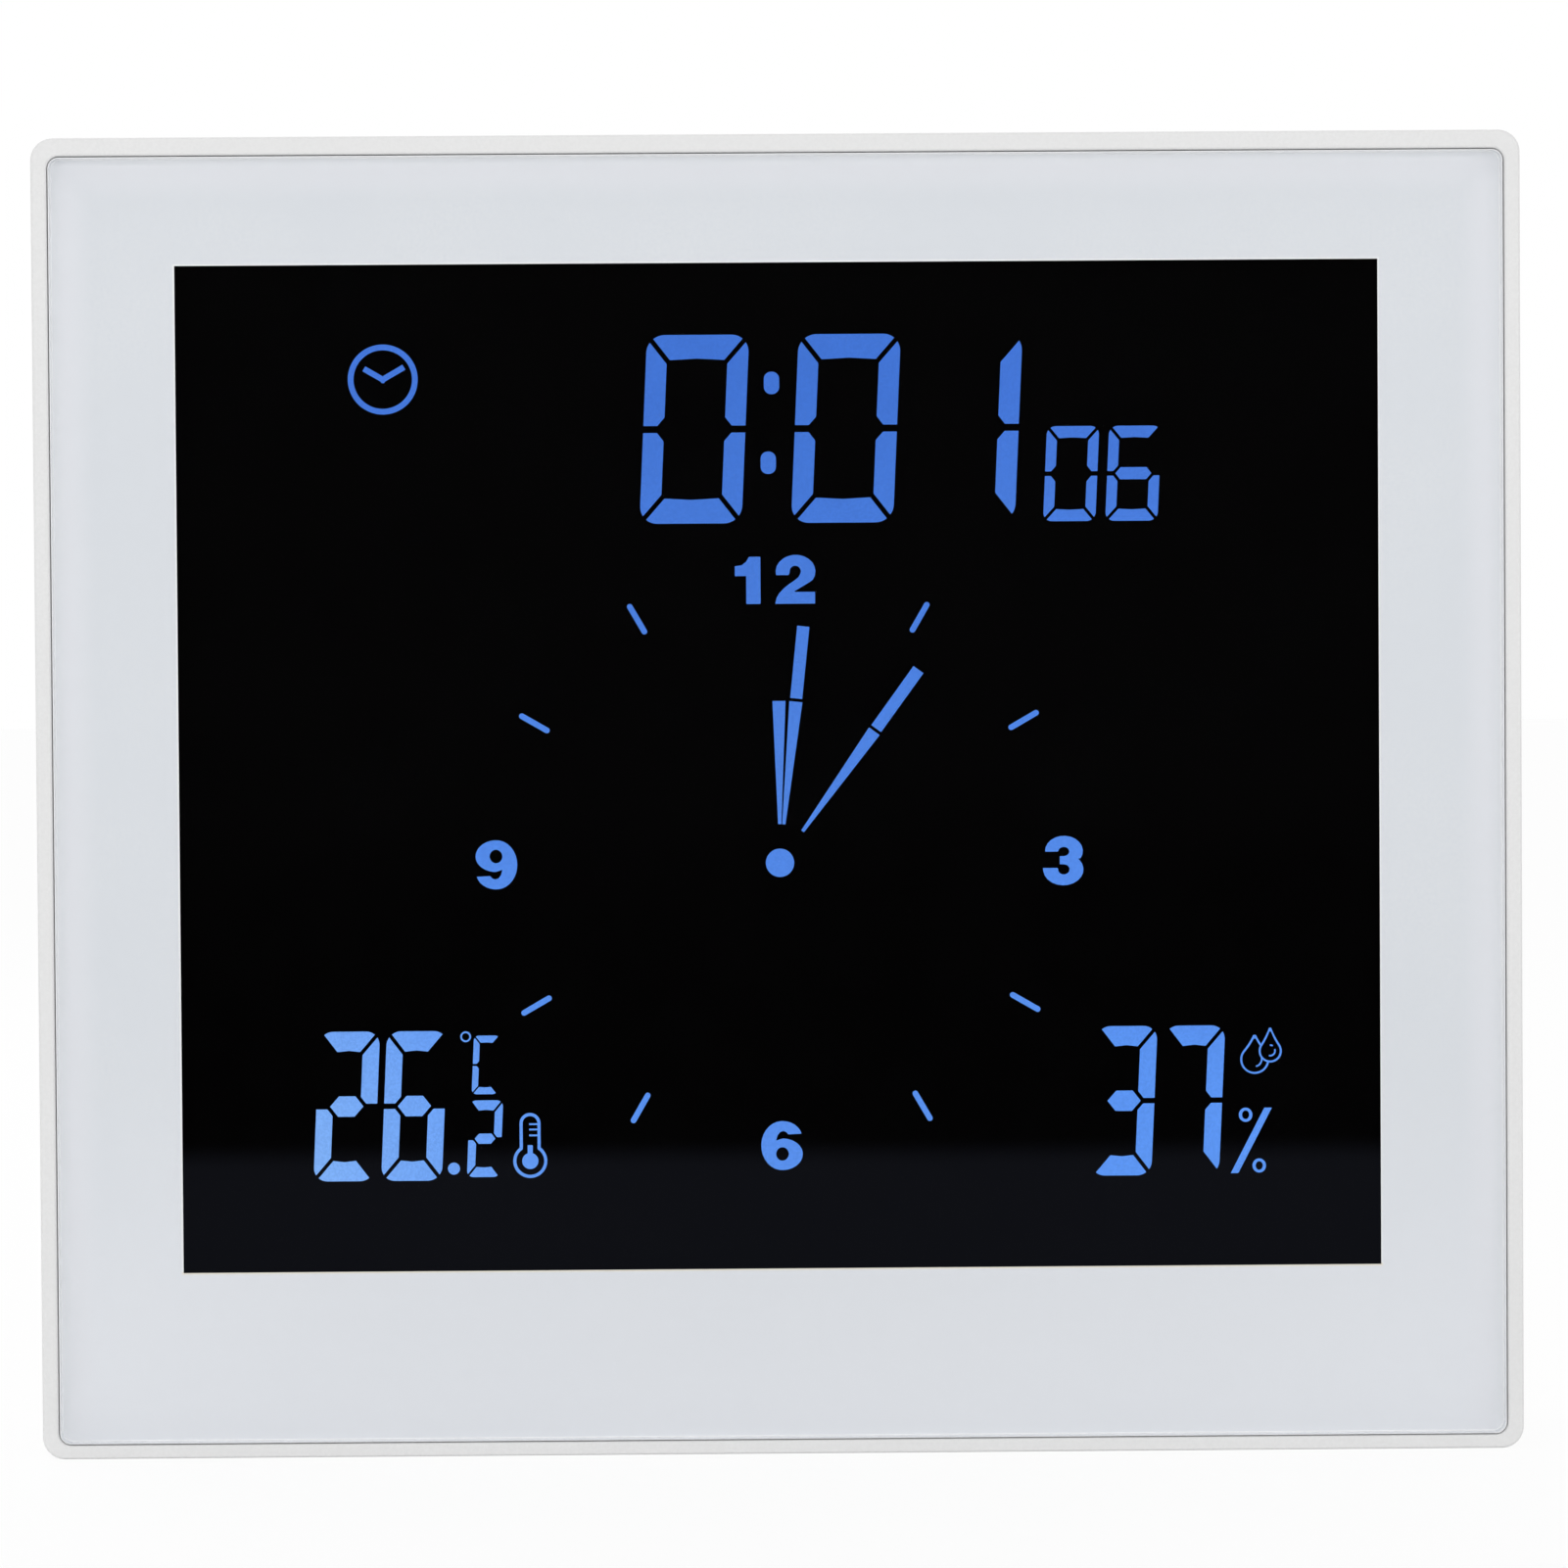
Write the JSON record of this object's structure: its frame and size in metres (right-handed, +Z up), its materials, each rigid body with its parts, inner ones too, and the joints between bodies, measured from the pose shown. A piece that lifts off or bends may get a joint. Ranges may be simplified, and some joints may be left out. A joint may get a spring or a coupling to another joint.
{
  "type": "digital alarm clock",
  "caption": "Free-standing digital alarm clock: slim white case, flush printed lens over a dark display with lit blue figures, rear keys, battery bay and fold-out stand.",
  "frame": {"origin": "middle of the bounding box on the surface that the clock stands on", "axes": "+X to the right seen from the front, +Y to the back, +Z up; the lens faces -Y"},
  "size_m": [0.135, 0.0288, 0.1206],
  "materials": {
    "case_white": "fine matt texture of a moulded case",
    "key_white": "smooth satin",
    "lens_clear": "clear polished acrylic",
    "print_white": "cool white print seen through the lens",
    "tape_black": "matt foam tape",
    "film_dark": "dark polarising film",
    "display_glass": "thin flat glass",
    "seal_grey": "matt adhesive",
    "figures_blue": "lit from behind, blue",
    "film_white": "matt film",
    "guide_clear": "clear acrylic sheet",
    "tray_white": "bright white moulding",
    "board_green": "green solder mask",
    "lamp_yellow": "yellow lamp resin",
    "zebra_rubber": "striped contact rubber",
    "resin_black": "black resin",
    "bright_steel": "plain bright metal",
    "capacitor_blue": "blue sleeve",
    "chip_brown": "fired body",
    "sensor_blue": "moulded sensor cover",
    "bead_brown": "dipped bead",
    "cell_jacket": "plain printed sleeve",
    "foot_rubber": "soft matt rubber"
  },
  "bodies": {
    "case": {"front_case": "case_white", "rear_cover": "case_white", "front_lens": "lens_clear", "lens_print": "print_white", "lens_tape": "tape_black", "lcd_front_polariser": "film_dark", "lcd_rear_polariser": "film_dark", "lcd_front_glass": "display_glass", "lcd_rear_glass": "display_glass", "lcd_seal": "seal_grey", "time_digits": "figures_blue", "dial_marks": "figures_blue", "clock_hands": "figures_blue", "temperature_readout": "figures_blue", "humidity_readout": "figures_blue", "clock_sign": "figures_blue", "diffuser_sheet": "film_white", "reflector_sheet": "film_white", "light_guide": "guide_clear", "backlight_tray": "tray_white", "led_board": "board_green", "main_board": "board_green", "backlight_leds": "lamp_yellow", "zebra_strip": "zebra_rubber", "processor_blob": "resin_black", "buzzer": "resin_black", "rear_switches": "resin_black", "snooze_switch": "resin_black", "usb_tongue": "resin_black", "quartz_crystal": "bright_steel", "usb_shell": "bright_steel", "board_screws": "bright_steel", "case_screws": "bright_steel", "battery_springs": "bright_steel", "battery_contacts": "bright_steel", "stand_pin": "bright_steel", "capacitors": "capacitor_blue", "chip_parts": "chip_brown", "humidity_sensor": "sensor_blue", "thermistor": "bead_brown", "battery_cells": "cell_jacket"},
    "stand": {"stand_leg": "case_white", "stand_foot": "foot_rubber"},
    "battery_door": {"battery_door": "case_white", "door_latch": "case_white"},
    "snooze": {"snooze_button": "key_white", "snooze_stem": "resin_black"},
    "mode_key": {"mode_key": "key_white", "mode_stem": "resin_black"},
    "set_key": {"set_key": "key_white", "set_stem": "resin_black"},
    "up_key": {"up_key": "key_white", "up_stem": "resin_black"},
    "down_key": {"down_key": "key_white", "down_stem": "resin_black"},
    "alarm_key": {"alarm_key": "key_white", "alarm_stem": "resin_black"},
    "light_key": {"light_key": "key_white", "light_stem": "resin_black"}
  },
  "joints": [
    {"name": "stand_fold", "type": "hinge", "parent": "case", "child": "stand", "pos_m": [0, 0.0112, 0.0604], "axis": [1, 0, 0], "range_deg": [0, 30]},
    {"name": "battery_door_swing", "type": "hinge", "parent": "case", "child": "battery_door", "pos_m": [0, 0.0136, 0.0692], "axis": [-1, 0, 0], "range_deg": [0, 60], "deforming": ["door_latch"]},
    {"name": "snooze_press", "type": "slide", "parent": "case", "child": "snooze", "axis": [0, 0, -1], "range_m": [0, 0.0004], "stiffness_N_per_m": 2500},
    {"name": "mode_press", "type": "slide", "parent": "case", "child": "mode_key", "axis": [0, -1, 0], "range_m": [0, 0.0004], "stiffness_N_per_m": 2500},
    {"name": "set_press", "type": "slide", "parent": "case", "child": "set_key", "axis": [0, -1, 0], "range_m": [0, 0.0004], "stiffness_N_per_m": 2500},
    {"name": "up_press", "type": "slide", "parent": "case", "child": "up_key", "axis": [0, -1, 0], "range_m": [0, 0.0004], "stiffness_N_per_m": 2500},
    {"name": "down_press", "type": "slide", "parent": "case", "child": "down_key", "axis": [0, -1, 0], "range_m": [0, 0.0004], "stiffness_N_per_m": 2500},
    {"name": "alarm_press", "type": "slide", "parent": "case", "child": "alarm_key", "axis": [0, -1, 0], "range_m": [0, 0.0004], "stiffness_N_per_m": 2500},
    {"name": "light_press", "type": "slide", "parent": "case", "child": "light_key", "axis": [0, -1, 0], "range_m": [0, 0.0004], "stiffness_N_per_m": 2500}
  ]
}
